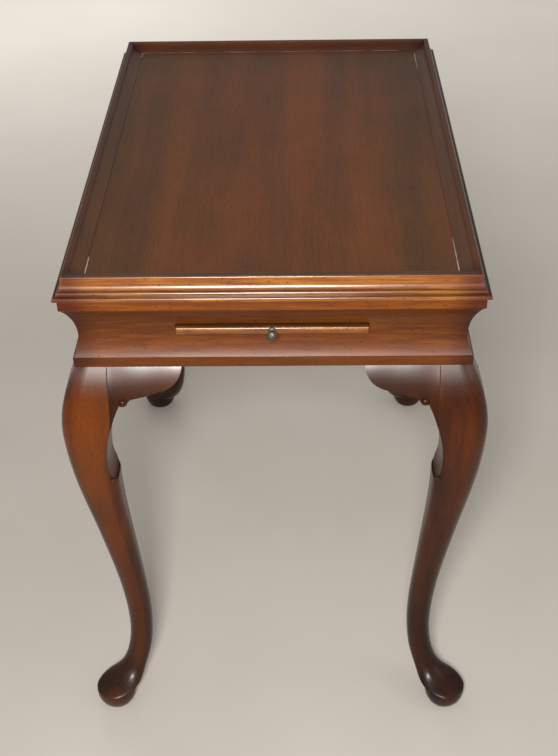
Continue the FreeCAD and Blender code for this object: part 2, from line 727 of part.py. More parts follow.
def drill_post(body):
    spot = corner_screw_spot()
    drill(body, f"{body.Name}_screw_hole", spot, spot, corner_screw_level(),
          screw_hole, SIZE["corner_screw_length"], QUARTER_TURN, QUARTER_TURN / 2)


# ---------------------------------------------------------------------------------------------------
# Knee returns, in the leg's frame or in its mirror image (hand -1 along -X, hand +1 along +X).
# ---------------------------------------------------------------------------------------------------

def return_section(body, name, hand, inset, low_out, face_out, face_level, radius):
    """A return cut across: upright back, plain lower face, curved upper face that leans in."""
    back = -rail_inset
    sketch = new_sketch(body, f"{body.Name}_section_{name}", "YZ_Plane", (0, 0, inset * hand))
    draw_outline(sketch, [
        (back, scroll_bend),
        (low_out, scroll_bend),
        (face_out, face_level),
        (SIZE["leg_top_out"], rail_bottom, radius),
        (back, rail_bottom),
    ])
    return sketch


def return_underside(hand):
    """Outline cut away under a return: tip, belly, notch, volute and the scroll down to the leg."""
    radius = SIZE["scroll_radius"]
    volute = SIZE["volute_radius"]
    centre = scroll_inset_at(volute_level) + SIZE["volute_offset"]
    meeting = volute_level - volute * VOLUTE_MEETING
    joint_drop = radius - (joint_inset - SIZE["scroll_inset"])
    joint_level = scroll_bend + root(radius * radius - joint_drop * joint_drop)
    below = scroll_bend - CUT_MARGIN
    above = rail_bottom + CUT_MARGIN
    beyond = SIZE["return_reach"] + CUT_MARGIN
    before = joint_inset - CUT_MARGIN
    reach = SIZE["return_reach"]
    return [
        (beyond * hand, below),
        (beyond * hand, above),
        (reach * hand, above),
        (reach * hand, rail_bottom),
        (SIZE["return_nose_inset"] * hand, rail_bottom - SIZE["return_nose_drop"],
         -SIZE["return_nose_radius"] * hand),
        ((centre + volute + SIZE["return_notch_gap"]) * hand, rail_bottom - SIZE["return_notch_drop"],
         -SIZE["return_belly_radius"] * hand),
        ((centre + volute) * hand, volute_level),
        (scroll_inset_at(meeting) * hand, meeting, -volute * hand),
        (joint_inset * hand, joint_level, radius * hand),
        (before * hand, joint_level),
        (before * hand, below),
    ]


def make_return(name, hand, yaw, x, y):
    body = new_body(name)
    sections = [return_section(body, "joint", hand, joint_inset, SIZE["knee_outer"], SIZE["brow_outer"],
                               brow_level, SIZE["joint_face_radius"])]
    for step, *_ in RETURN_SECTIONS:
        out = SIZE[f"return_{step}_out"]
        level = rail_bottom - SIZE[f"return_{step}_drop"]
        sections.append(return_section(body, step, hand, SIZE[f"return_{step}_inset"], out, out, level,
                                       SIZE[f"return_{step}_radius"]))
    block = body.newObject("PartDesign::AdditiveLoft", f"{name}_block")
    block.Profile = sections[0]
    block.Sections = sections[1:]

    under = new_sketch(body, f"{name}_underside", "XZ_Plane")
    draw_outline(under, return_underside(hand))
    pocket_through(body, f"{name}_underside_cut", under)

    volute = SIZE["volute_radius"]
    centre = scroll_inset_at(volute_level) + SIZE["volute_offset"]
    add_sphere(body, f"{name}_volute", centre * hand, SIZE["volute_out"] - volute, volute_level, volute)
    place(body, x, y, 0, yaw)
    return body


def make_corners():
    pieces = []
    signs = ((1.0, 1.0), (-1.0, 1.0), (-1.0, -1.0), (1.0, -1.0))
    for index, ((corner, along_x, along_y), (right, behind)) in enumerate(zip(CORNERS, signs)):
        yaw = index * QUARTER_TURN
        x = half_width * right
        y = half_length * behind
        pieces.append(make_leg(f"leg_{corner}", yaw, x, y))
        pieces.append(make_return(f"knee_return_{corner}_{along_x}", -1.0, yaw, x, y))
        pieces.append(make_return(f"knee_return_{corner}_{along_y}", 1.0, yaw - QUARTER_TURN, x, y))
        pieces.append(make_corner_block(f"corner_block_{corner}", yaw, x, y))
    return pieces


def make_corner_block(name, yaw, x, y):
    body = new_body(name)
    level = rail_bottom + SIZE["block_lift"]
    sketch = new_sketch(body, f"{name}_outline", "XY_Plane", (0, 0, level))
    reach = -SIZE["block_inset"]
    draw_outline(sketch, [
        (reach, -rail_inset),
        (-rail_inset, reach),
        (-rail_inset, -post_inner),
        (-post_inner, -post_inner),
        (-post_inner, -rail_inset),
    ])
    pad(body, f"{name}_block", sketch, SIZE["block_height"])
    drill_post(body)
    place(body, x, y, 0, yaw)
    return body


# ---------------------------------------------------------------------------------------------------
# Candle slides, their knobs, cleats and runners. A slide's own frame: Y inward from the rim plane.
# ---------------------------------------------------------------------------------------------------

def make_slide(end, yaw, y):
    name = f"candle_slide_{end}"
    body = new_body(name)
    front = SIZE["slide_front_inset"]
    back = front + slide_length
    edge = SIZE["slide_edge_round"]
    lower = SIZE["slide_lower_round"]
    sketch = new_sketch(body, f"{name}_profile", "YZ_Plane")
    draw_outline(sketch, [
        (back, slide_bottom),
        (back, slide_top),
        (front + edge, slide_top),
        (front, slide_top - edge, edge),
        (front, slide_bottom + lower),
        (front + lower, slide_bottom, lower),
    ])
    pad(body, f"{name}_board", sketch, slide_half * 2, symmetric=True)
    hole = new_sketch(body, f"{name}_stud_hole", "XZ_Plane", (0, 0, 0))
    draw_circle(hole, 0, slide_middle(), SIZE["knob_stud_radius"] + SIZE["screw_clearance"])
    pocket_deep(body, f"{name}_stud_bore", hole, front + SIZE["knob_stud_length"])
    place(body, 0, y, 0, yaw)
    return body


def slide_middle():
    return slide_bottom + SIZE["slide_thickness"] / 2


def make_knob(end, yaw, y):
    """A turned knob: domed head, waisted neck, collar and the stud that holds it in the slide."""
    name = f"slide_knob_{end}"
    body = new_body(name)
    plate = SIZE["knob_plate_thickness"]
    reach = SIZE["knob_reach"]
    neck = SIZE["knob_neck_radius"]
    head = SIZE["knob_radius"]
    head_start = reach - SIZE["knob_head_length"]
    widest = head_start + SIZE["knob_head_length"] / 2
    stud = SIZE["knob_stud_radius"]
    dome = reach - widest
    dome_radius = (head * head + dome * dome) / (dome * 2)
    profile = new_sketch(body, f"{name}_profile", "XZ_Plane")
    draw_outline(profile, [
        (0, -SIZE["knob_stud_length"]),
        (stud, -SIZE["knob_stud_length"]),
        (stud, 0),
        (SIZE["knob_plate_radius"], 0),
        (SIZE["knob_plate_radius"], plate),
        (neck, plate + SIZE["knob_plate_slope"]),
        (neck, head_start),
        (head, widest, head),
        (0, reach, dome_radius),
    ])
    revolve(body, f"{name}_turning", profile)
    outward = FreeCAD.Rotation(FreeCAD.Vector(0, 0, 1), yaw)
    lay_down = FreeCAD.Rotation(FreeCAD.Vector(1, 0, 0), QUARTER_TURN)
    inset = SIZE["slide_front_inset"]
    place(body, 0, y + inset if yaw == 0.0 else y - inset, slide_middle(), yaw)
    body.Placement.Rotation = outward.multiply(lay_down)
    return body


def make_box(name, width, length, height, x, y, z):
    """A plain block centred on x and y, standing on z."""
    box = doc.addObject("Part::Box", name)
    box.Label = name
    bind(box, "Length", as_size(width))
    bind(box, "Width", as_size(length))
    bind(box, "Height", as_size(height))
    place(box, as_size(x) - as_size(width) / 2, as_size(y) - as_size(length) / 2, z)
    return box


def make_slides():
    pieces = []
    for end, side, yaw in (("front", -1.0, 0.0), ("back", 1.0, 2 * QUARTER_TURN)):
        rim = half_length * side
        pieces.append(make_slide(end, yaw, rim))
        pieces.append(make_knob(end, yaw, rim))
        cleat_inset = (rail_inset + SIZE["slide_travel"] + SIZE["slide_clearance"]
                       + SIZE["cleat_length"] / 2)
        cleat = make_box(f"slide_cleat_{end}", SIZE["cleat_width"], SIZE["cleat_length"],
                         SIZE["cleat_height"], 0, (half_length - cleat_inset) * side, slide_top)
        pieces.append(cleat)
    return pieces


def make_guide(name, side):
    """A grooved runner that fills the length between the end rails, hung under the tray board."""
    body = new_body(name)
    sketch = new_sketch(body, f"{name}_profile", "XZ_Plane")
    draw_outline(sketch, [
        (guide_inner * side, guide_bottom),
        (guide_outer * side, guide_bottom),
        (guide_outer * side, rail_top),
        (guide_inner * side, rail_top),
        (guide_inner * side, groove_top),
        (groove_side * side, groove_top),
        (groove_side * side, groove_bottom),
        (guide_inner * side, groove_bottom),
    ])
    pad(body, f"{name}_run", sketch, (half_length - rail_inset) * 2, symmetric=True)
    for index, y in enumerate(guide_screw_rows()):
        bore = SIZE["guide_screw_bore"]
        head_level = rail_top - SIZE["guide_screw_grip"]
        drill(body, f"{name}_bore_{index}", guide_screw_line() * side, y, guide_bottom, bore,
              head_level - guide_bottom)
        drill(body, f"{name}_hole_{index}", guide_screw_line() * side, y, guide_bottom,
              screw_hole, rail_top - guide_bottom)
    place(body, 0, 0, 0)
    return body


def guide_screw_line():
    return (groove_side + guide_outer) / 2


def guide_screw_rows():
    spacing = SIZE["guide_screw_spacing"]
    return (-spacing, spacing * 0, spacing)


def make_inside():
    panel = make_tray_panel()
    pieces = [panel, make_guide("slide_guide_left", -1.0), make_guide("slide_guide_right", 1.0)]
    for side in (-1.0, 1.0):
        for index, y in enumerate(guide_screw_rows()):
            drill(panel, f"tray_hole_{round(side)}_{index}".replace("-", "n"), guide_screw_line() * side,
                  y, rail_top, screw_hole,
                  SIZE["guide_screw_length"] - SIZE["guide_screw_grip"])
    stop = make_box("slide_centre_stop", groove_side * 2, SIZE["centre_stop_length"],
                    groove_top - groove_bottom, 0, 0, groove_bottom)
    pieces.append(stop)
    return pieces


# ---------------------------------------------------------------------------------------------------
# Fasteners and glue blocks: each kind is one group of separate solids.
# ---------------------------------------------------------------------------------------------------

def make_screw(name, length, x, y, z, pitch, yaw):
    """A round-headed screw: its seat at the given point, its shank along the turned axis."""
    shank = doc.addObject("Part::Cylinder", f"{name}_shank")
    bind(shank, "Radius", SIZE["screw_radius"])
    bind(shank, "Height", length)
    head = doc.addObject("Part::Cone", f"{name}_head")
    bind(head, "Radius1", SIZE["screw_crown_radius"])
    bind(head, "Radius2", SIZE["screw_head_radius"])
    bind(head, "Height", SIZE["screw_head_height"])
    bind(head, ".Placement.Base.z", -SIZE["screw_head_height"])
    screw = doc.addObject("Part::MultiFuse", name)
    screw.Shapes = [shank, head]
    place(screw, x, y, z)
    screw.Placement.Rotation = FreeCAD.Rotation(yaw, pitch, 0.0)
    return screw


def group(name, members):
    compound = doc.addObject("Part::Compound", name)
    compound.Label = name
    compound.Links = members
    return compound


def make_fasteners():
    guide_screws = []
    for side in (-1.0, 1.0):
        for index, y in enumerate(guide_screw_rows()):
            level = rail_top - SIZE["guide_screw_grip"]
            name = f"guide_screw_{'left' if side < 0 else 'right'}_{index}"
            guide_screws.append(make_screw(name, SIZE["guide_screw_length"], guide_screw_line() * side, y,
                                           level, 0.0, 0.0))
    corner_screws = []
    spot = -corner_screw_spot()
    for index, (right, behind) in enumerate(((1.0, 1.0), (-1.0, 1.0), (-1.0, -1.0), (1.0, -1.0))):
        yaw = QUARTER_TURN / 2 + index * QUARTER_TURN
        corner_screws.append(make_screw(f"corner_screw_{index}", SIZE["corner_screw_length"],
                                        (half_width - spot) * right, (half_length - spot) * behind,
                                        corner_screw_level(), QUARTER_TURN, yaw))
    return [group("guide_screws", guide_screws), group("corner_screws", corner_screws)]


def make_glue_blocks():
    blocks = []
    side = SIZE["glue_block_side"]
    length = SIZE["glue_block_length"]
    level = rail_top - side
    near_rail = rail_inset + side / 2
    for end in (-1.0, 1.0):
        name = f"glue_block_end_{'front' if end < 0 else 'back'}"
        blocks.append(make_box(name, length, side, side, 0, (half_length - near_rail) * end, level))
        for hand in (-1.0, 1.0):
            name = f"glue_block_{'left' if hand < 0 else 'right'}_{'front' if end < 0 else 'back'}"
            blocks.append(make_box(name, side, length, side, (half_width - near_rail) * hand,
                                   SIZE["glue_block_spacing"] / 2 * end, level))
    return [group("tray_glue_blocks", blocks)]


def failed(obj):
    return "Invalid" in obj.State or "Error" in obj.State


def export(pieces):
    doc.recompute()
    broken = [obj.Name for obj in doc.Objects if failed(obj)]
    if broken:
        raise RuntimeError("these objects failed: " + ", ".join(broken))
    for piece in pieces:
        if piece.Shape.isNull() or not piece.Shape.isValid():
            raise RuntimeError(piece.Label + " has no valid shape")
    os.makedirs("parts", exist_ok=True)
    for piece in pieces:
        piece.Shape.exportStep(f"parts/{piece.Label}.step")
        print(f"{piece.Label}: {len(piece.Shape.Solids)} solid, {piece.Shape.Volume / 1000.0:.1f} cm3")


export(make_frame() + make_inside() + make_corners() + make_slides() + make_fasteners()
       + make_glue_blocks())
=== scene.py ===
import math

import bpy
from mathutils import Matrix, Vector


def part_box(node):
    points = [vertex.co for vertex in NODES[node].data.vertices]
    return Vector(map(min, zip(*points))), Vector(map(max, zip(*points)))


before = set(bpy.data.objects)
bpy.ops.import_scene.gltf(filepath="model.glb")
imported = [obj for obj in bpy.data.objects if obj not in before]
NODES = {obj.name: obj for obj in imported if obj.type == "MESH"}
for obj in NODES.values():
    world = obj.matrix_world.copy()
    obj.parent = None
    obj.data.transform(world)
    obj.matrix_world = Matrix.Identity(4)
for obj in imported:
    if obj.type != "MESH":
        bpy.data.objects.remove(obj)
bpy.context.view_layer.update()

# Tray top tea table, in metres. +X is to the right, +Y to the back, +Z up, the floor is at zero.
# The nodes' objects sit at the origin, so a height or a distance from the middle that a material
# names is the resting table's own, and it moves with the piece.

# Colours, linear.
WHITE = (1.0, 1.0, 1.0)
# PALE is the colour of the painted highlight along the tray field's border.
PALE = (0.50, 0.44, 0.38)
GOLD = (0.45, 0.165, 0.007)
AMBER = (0.27, 0.078, 0.004)
COPPER = (0.24, 0.056, 0.003)
HONEY = (0.22, 0.066, 0.004)
RUSSET = (0.125, 0.028, 0.003)
UMBER = (0.050, 0.014, 0.003)
DARK = (0.014, 0.006, 0.003)
FIELD_LIGHT, FIELD_DARK = (0.195, 0.048, 0.006), (0.095, 0.031, 0.007)
LEG_LIGHT, LEG_DARK = (0.15, 0.031, 0.0035), (0.048, 0.012, 0.003)
LEG_STREAK, LEG_LIT_FRONT = (0.034, 0.009, 0.003), (0.20, 0.047, 0.004)
BARE_LIGHT, BARE_DARK = (0.42, 0.24, 0.115), (0.17, 0.085, 0.038)
KNOB_LIGHT, KNOB_DARK = (0.24, 0.22, 0.185), (0.07, 0.062, 0.052)
STEEL_LIGHT, STEEL_DARK = (0.42, 0.41, 0.39), (0.16, 0.15, 0.14)

# The scale of each noise in a wood, per metre, along the grain and across it, or one for both.
SWAY_GRAIN = (3.0, 5.0)
RIBBON_ALONG = 1.6
STREAK_GRAIN = (9.0, 420.0)
PATCH_GRAIN = (13.0, 240.0)
LEG_PATCH_GRAIN = (2.2, 34.0)
PORE_GRAIN = (110.0, 1500.0)
BARE_GRAIN = (6.0, 260.0)
CLOUD_SCALE, BARE_CLOUD_SCALE, ROUGH_SCALE = 14.0, 9.0, 60.0
SPECK_SCALE, GLINT_SCALE = 120.0, 22.0

# Between which values a mark comes in: of a noise, an occlusion, a facing, or a speck's own radius.
SPREAD = (0.3, 0.7)
BAND_RISE, PATCH_RISE, PORE_RISE = (0.36, 0.64), (0.42, 0.64), (0.58, 0.70)
HOLLOW_RISE, EDGE_RISE, WORN_RISE = (0.2, 0.9), (0.25, 0.75), (0.4, 0.6)
GLINT_RISE, TARNISH_RISE = (0.42, 0.56), (0.35, 0.65)
LIT_FRONT_RISE, LEDGE_RISE = (0.82, 0.99), (0.25, 0.6)
SPECK_FADE = (0.06, 0.17)

SWAY = 0.02  # how far the grain wanders, in metres
EDGE_WIDTH = 0.0025  # how far from an edge the finish is worn, in metres
# The painted highlight along the tray field's border: its width, and where it comes in.
GLINT_WIDTH, GLINT_ENDS = 0.001, (0.20, 0.27)  # in metres, the second from the middle of the table
BAND_SHARE, STREAK_SHARE, CLOUD_SHARE = 0.46, 0.30, 0.24  # of the figure
BARE_STREAK_SHARE, BARE_CLOUD_SHARE = 0.6, 0.4
# HOLLOW_PAINTED_SHADE is how far hollows are darkened as painted shade.
PORE_DARK, HOLLOW_PAINTED_SHADE, SPECK_DARK = 0.5, 0.85, 0.85  # how far each is darkened
SPECK_CELLS = 0.85  # the share of the cells that hold a speck where specks is one
PORE_HEIGHT, STREAK_HEIGHT = -0.6, 0.4  # in the bump, where the pores are pits
GLOSS_DROP, GLOSS_RISE = 0.012, 0.018  # how far the roughness strays from a wood's gloss
BARE_ROUGHNESS = (0.68, 0.8)
SHADE_SAMPLES = 6


# ---------------------------------------------------------------------------------------------------
# Node materials
# ---------------------------------------------------------------------------------------------------

class Shader:
    """One material's node tree, with short calls that add nodes and join them."""

    def __init__(self, name):
        self.material = bpy.data.materials.new(name)
        self.material.use_nodes = True
        self.tree = self.material.node_tree
        self.tree.nodes.clear()
        self.output = self.add("ShaderNodeOutputMaterial")

    def add(self, kind, inputs=None, **settings):
        node = self.tree.nodes.new(kind)
        for key, value in settings.items():
            setattr(node, key, value)
        for key, value in (inputs or {}).items():
            self.put(node.inputs[key], value)
        return node

    def put(self, socket, value):
        if isinstance(value, bpy.types.Node):
            value = value.outputs[0]
        if isinstance(value, bpy.types.NodeSocket):
            self.tree.links.new(value, socket)
        elif hasattr(value, "__len__") and len(value) == 3 and socket.type == "RGBA":
            socket.default_value = (*value, 1.0)
        else:
            socket.default_value = value

    def at(self, kind="Object"):
        return self.add("ShaderNodeTexCoord").outputs[kind]

    def axis(self, vector, letter):
        return self.add("ShaderNodeSeparateXYZ", {0: vector}).outputs[letter]

    def math(self, operation, first, second=0.0):
        return self.add("ShaderNodeMath", {0: first, 1: second}, operation=operation)

    def times(self, first, second):
        return self.math("MULTIPLY", first, second)

    def vector(self, operation, inputs):
        return self.add("ShaderNodeVectorMath", inputs, operation=operation)

    def noise(self, at, scale, detail=2.0, roughness=0.5):
        return self.add("ShaderNodeTexNoise", {"Vector": at, "Scale": scale, "Detail": detail,
                                               "Roughness": roughness})

    def stretched_noise(self, at, grain, detail, roughness=0.5):
        """Noise with one scale along the point's first axis and another across it."""
        along, across = grain
        at = self.add("ShaderNodeMapping", {"Vector": at, "Scale": (along, across, across)})
        return self.noise(at, 1.0, detail, roughness)

    def ramp(self, value, low, high, bottom=0.0, top=1.0, smooth=True):
        """Value from low to high, mapped to bottom to top and held outside."""
        return self.add("ShaderNodeMapRange", {0: value, 1: low, 2: high, 3: bottom, 4: top},
                        interpolation_type="SMOOTHSTEP" if smooth else "LINEAR")

    def mix(self, factor, first, second, blend="MIX"):
        return self.add("ShaderNodeMixRGB", {0: factor, 1: first, 2: second}, blend_type=blend)

    def shade(self, distance, inside=False):
        """How open the surface is, from the ambient occlusion within a distance."""
        node = self.add("ShaderNodeAmbientOcclusion", {"Distance": distance}, samples=SHADE_SAMPLES,
                        inside=inside)
        return node.outputs["AO"]

    def bump(self, strength, distance, height):
        return self.add("ShaderNodeBump", {"Strength": strength, "Distance": distance, "Height": height})

    def surface(self, inputs):
        """The finished material, with one principled shader on these inputs."""
        return self.finish(self.add("ShaderNodeBsdfPrincipled", inputs))

    def finish(self, shader):
        self.put(self.output.inputs["Surface"], shader)
        return self.material


def grain_space(s, along, seed):
    """Object coordinates turned so that the grain runs along the first axis, moved by the seed."""
    turns = {"X": (0.0, 0.0, 0.0), "Y": (0.0, 0.0, -math.pi / 2), "Z": (0.0, math.pi / 2, 0.0)}
    return s.add("ShaderNodeMapping", {"Vector": s.at(), "Rotation": turns[along],
                                       "Location": (0.37 * seed, 0.23 * seed, 0.11 * seed)})


def level_tone(s, stops):
    """A grey tone that follows the height: (height, tone) stops from the bottom up."""
    low = stops[0][0]
    high = stops[-1][0]
    ramp = s.add("ShaderNodeValToRGB", {0: s.ramp(s.axis(s.at(), "Z"), low, high, smooth=False)})
    marks = ramp.color_ramp.elements
    while len(marks) < len(stops):
        marks.new(1.0)
    for mark, (height, tone) in zip(marks, stops):
        mark.position = (height - low) / (high - low)
        mark.color = (tone, tone, tone, 1.0)
    return ramp


def side_tone(s, axis, start, finish, tint):
    """White on the near side of start and the tint past finish, by the distance from the middle."""
    return s.mix(s.ramp(s.math("ABSOLUTE", s.axis(s.at(), axis)), start, finish), WHITE, tint)


def painted_border_highlight(s, half_x, half_y):
    """A painted highlight along the border of the tray field, in broken stretches near its ends."""
    at = s.at()
    x = s.math("ABSOLUTE", s.axis(at, "X"))
    y = s.math("ABSOLUTE", s.axis(at, "Y"))
    reach = s.math("MAXIMUM", s.math("SUBTRACT", x, half_x), s.math("SUBTRACT", y, half_y))
    line = s.ramp(reach, -GLINT_WIDTH, -GLINT_WIDTH * 0.7)
    broken = s.ramp(s.noise(at, GLINT_SCALE, detail=3.0, roughness=0.6), *GLINT_RISE)
    return s.times(line, s.times(broken, s.ramp(y, *GLINT_ENDS)))


def painted_front_light(s, x, y):
    """One where the surface faces the given way, used to paint light on the front of a leg."""
    facing = s.vector("DOT_PRODUCT", {0: s.at("Normal"), 1: (x, y, 0.0)})
    return s.ramp(facing.outputs["Value"], *LIT_FRONT_RISE)


def painted_ledge_shade(s, low, high):
    """One, as painted shade, on what faces up between two heights, such as the ledge under the carved
    scroll.
    """
    z = s.axis(s.at(), "Z")
    inside = s.times(s.math("GREATER_THAN", z, low), s.math("LESS_THAN", z, high))
    return s.times(s.ramp(s.axis(s.at("Normal"), "Z"), *LEDGE_RISE), inside)


def scattered_specks(s, at, share):
    """One in small round specks, in this share of the cells of a pattern."""
    spots = s.add("ShaderNodeTexVoronoi", {"Vector": at, "Scale": SPECK_SCALE, "Randomness": 1.0})
    few = s.add("ShaderNodeSeparateColor", {0: spots.outputs["Color"]}).outputs[0]
    return s.times(s.ramp(spots.outputs["Distance"], *SPECK_FADE, 1.0, 0.0),
                   s.math("GREATER_THAN", few, 1.0 - share))


def wood(name, along, seed, light, dark, ribbon, gloss, coat, coat_gloss, coat_index=1.5, level=0.25,
         specks=0.0, shade_reach=0.007, tones=None, sides=(), patch=None, patch_share=0.75,
         patch_grain=PATCH_GRAIN, worn=0.0, border_highlight=None, lit_front=None, ledge=None):
    """Lacquered mahogany: ribbon figure of this width, fine streaks, short pores, painted shade in
    hollows.

    Tones, and a coat given as stops, follow the height. Sides hold arguments of side_tone, a
    border_highlight those of painted_border_highlight, a painted highlight, and a ledge those of
    painted_ledge_shade, painted shade. A patch is a second colour in long streaks, and a lit_front is x,
    y, share and colour of light painted on faces turned that way. Hollows up to a shade_reach's width
    are darkened as painted shade. Specks and worn are shares.
    """
    s = Shader(name)
    at = grain_space(s, along, seed)
    sway = s.stretched_noise(at, SWAY_GRAIN, detail=1.0).outputs["Color"]
    sway = s.vector("SUBTRACT", {0: sway, 1: (0.5, 0.5, 0.5)})
    at = s.vector("ADD", {0: at, 1: s.vector("SCALE", {0: sway, "Scale": SWAY})})

    ribbon_grain = (RIBBON_ALONG, 1.0 / ribbon)
    band = s.ramp(s.stretched_noise(at, ribbon_grain, detail=1.5, roughness=0.55), *BAND_RISE)
    streak = s.ramp(s.stretched_noise(at, STREAK_GRAIN, detail=3.0, roughness=0.6), *SPREAD)
    pore = s.ramp(s.stretched_noise(at, PORE_GRAIN, detail=1.0), *PORE_RISE)
    clouds = s.noise(at, CLOUD_SCALE)
    figure = s.math("ADD", s.times(band, BAND_SHARE), s.times(streak, STREAK_SHARE))
    figure = s.math("ADD", figure, s.times(s.ramp(clouds, *SPREAD), CLOUD_SHARE))
    colour = s.mix(figure, dark, light)
    if patch:
        patches = s.stretched_noise(at, patch_grain, detail=3.0, roughness=0.6)
        colour = s.mix(s.ramp(patches, *PATCH_RISE, 0.0, patch_share), colour, patch)
    # Painted light: the faces turned the given way take on a lighter, more orange colour.
    if lit_front:
        x, y, share, tint = lit_front
        colour = s.mix(s.times(painted_front_light(s, x, y), share), colour, tint)

    colour = s.mix(s.times(pore, PORE_DARK), colour, DARK)
    # Tones by height; on the rims, rails, returns and slides they hold painted shade and light.
    if tones:
        colour = s.mix(1.0, colour, level_tone(s, tones), "MULTIPLY")
    # The sides tone the ends beside the mitres, paint shade on the rims' slopes and a reflection on the
    # field's margins.
    for side in sides:
        colour = s.mix(1.0, colour, side_tone(s, *side), "MULTIPLY")
    # Painted shade: hollows within shade_reach are darkened by their ambient occlusion.
    colour = s.mix(s.ramp(s.shade(shade_reach), *HOLLOW_RISE, HOLLOW_PAINTED_SHADE, 0.0), colour, DARK)
    if specks:
        speck = scattered_specks(s, at, SPECK_CELLS * specks)
        colour = s.mix(s.times(speck, SPECK_DARK), colour, DARK)
    if worn:
        edge = s.ramp(s.shade(EDGE_WIDTH, inside=True), *EDGE_RISE, 1.0, 0.0)
        colour = s.mix(s.times(s.times(edge, s.ramp(clouds, *WORN_RISE)), worn), colour, light)
    # Painted highlight: a pale broken line along the tray field's border, near its ends.
    if border_highlight:
        colour = s.mix(painted_border_highlight(s, *border_highlight), colour, PALE)
    # Painted shade on what faces up between the ledge's heights.
    if ledge:
        colour = s.mix(s.times(painted_ledge_shade(s, *ledge), SPECK_DARK), colour, DARK)

    height = s.math("ADD", s.times(pore, PORE_HEIGHT), s.times(streak, STREAK_HEIGHT))
    return s.surface({
        "Base Color": colour,
        "Roughness": s.ramp(s.noise(at, ROUGH_SCALE), *SPREAD, gloss - GLOSS_DROP, gloss + GLOSS_RISE),
        "Normal": s.bump(strength=0.12, distance=0.0002, height=height),
        "IOR": 1.5,
        "Specular IOR Level": level,
        "Coat Weight": level_tone(s, coat) if isinstance(coat, tuple) else coat,
        "Coat Roughness": coat_gloss,
        "Coat IOR": coat_index})


def bare_wood(name, along, seed):
    """Dry wood without a finish, as on the inside of the frame."""
    s = Shader(name)
    at = grain_space(s, along, seed)
    streaks = s.stretched_noise(at, BARE_GRAIN, detail=4.0, roughness=0.65)
    clouds = s.noise(at, BARE_CLOUD_SCALE)
    figure = s.math("ADD", s.times(s.ramp(streaks, *SPREAD), BARE_STREAK_SHARE),
                    s.times(s.ramp(clouds, *SPREAD), BARE_CLOUD_SHARE))
    return s.surface({
        "Base Color": s.mix(figure, BARE_DARK, BARE_LIGHT),
        "Roughness": s.ramp(clouds, *SPREAD, *BARE_ROUGHNESS),
        "Normal": s.bump(strength=0.35, distance=0.0003, height=streaks)})


def metal(name, light, dark, roughness, scale):
    """Dull metal with a tarnish of this scale, rougher where it is dark."""
    s = Shader(name)
    at = s.at()
    tarnish = s.noise(at, scale, detail=4.0, roughness=0.65)
    return s.surface({
        "Base Color": s.mix(s.ramp(tarnish, *TARNISH_RISE), dark, light),
        "Metallic": 1.0,
        "Roughness": s.ramp(tarnish, *SPREAD, roughness + 0.12, roughness - 0.06),
        "Normal": s.bump(strength=0.25, distance=0.0002, height=s.noise(at, scale * 3.0))})


def dress(node, material):
    mesh = NODES[node].data
    mesh.materials.clear()
    mesh.materials.append(material)


# ---------------------------------------------------------------------------------------------------
# Materials on the CAD nodes
# ---------------------------------------------------------------------------------------------------

HALF = {"X": 0.2115, "Y": 0.3130}  # from the middle to the rim's outer plane, which the lip overhangs
FIELD_COVERED = 0.008  # how far the tray's board runs under the rim
FIELD_HALF_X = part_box("tray_panel")[1][0] - FIELD_COVERED
FIELD_HALF_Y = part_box("tray_panel")[1][1] - FIELD_COVERED
# Painted reflection: the tray field darker and greyer towards its margins, where the rim is reflected.
FIELD_MARGIN_REFLECTION = (("X", 0.05, 0.17, (0.74, 0.90, 1.0)), ("Y", 0.20, 0.29, (0.88, 0.94, 1.0)))

# Which part of the noise each kind of piece is cut from.
SEEDS = {"rim": 1.3, "field": 3.1, "rail": 7.7, "leg": 12.4, "slide": 31.6, "block": 40.5, "cleat": 44.5,
         "guide": 47.5, "stop": 52.0, "glue_block": 54.0}

# Tints beside the mitres, and painted shade on the rim's slope from this far inside its outer plane,
# with a grey cast of painted reflection on the left and right.
END_FROM, END_TO, END_TINT = 0.036, 0.004, (0.46, 0.28, 0.36)
FRONT_SLOPE, OTHER_SLOPE, SLOPE_BLEND = 0.0026, 0.0068, 0.0014
SLOPE_PAINTED_SHADE = {"front": (0.42, 0.36, 0.42), "right": (0.92, 1.35, 2.2), "back": (0.95, 0.85, 0.75),
              "left": (0.92, 1.35, 2.2)}

# Stops from the bottom up, as height and tone or height and share of the coat.
# The rims' tones are painted shade: darker in the quirks, under the lip and on the front's top flat.
FRONT_RIM_TONES = ((0.6225, 0.60), (0.6244, 0.85), (0.6263, 1.0), (0.6282, 0.50), (0.6288, 0.50),
                   (0.6300, 0.90), (0.6327, 0.50), (0.6350, 0.85), (0.6392, 1.0), (0.6460, 1.0),
                   (0.6474, 0.85), (0.6480, 0.36))
RIM_TONES = ((0.6225, 0.70), (0.6263, 1.0), (0.6282, 0.60), (0.6288, 0.60), (0.6300, 0.90),
             (0.6327, 0.70), (0.6350, 0.95), (0.6392, 1.0), (0.6460, 1.0), (0.6474, 1.0), (0.6480, 0.95))
# The rails' tones paint light on the fascia and low on the cove under its sheen, and painted shade up the
# cove under the fascia and on the fillet.
RAIL_TONES = ((0.5360, 0.58), (0.5475, 0.62), (0.5480, 0.90), (0.5600, 0.86), (0.5720, 0.70),
              (0.6050, 0.60), (0.6093, 0.74), (0.6112, 1.12), (0.6225, 1.08))
RAIL_COAT = ((0.5360, 0.12), (0.5475, 0.15), (0.5480, 0.50), (0.5560, 0.50), (0.5740, 0.12),
             (0.6225, 0.12))
LEG_TONES = ((0.0, 0.50), (0.022, 0.42), (0.06, 0.42), (0.12, 0.48), (0.20, 0.56), (0.30, 0.76),
             (0.40, 0.92), (0.47, 1.0), (0.5360, 0.90))
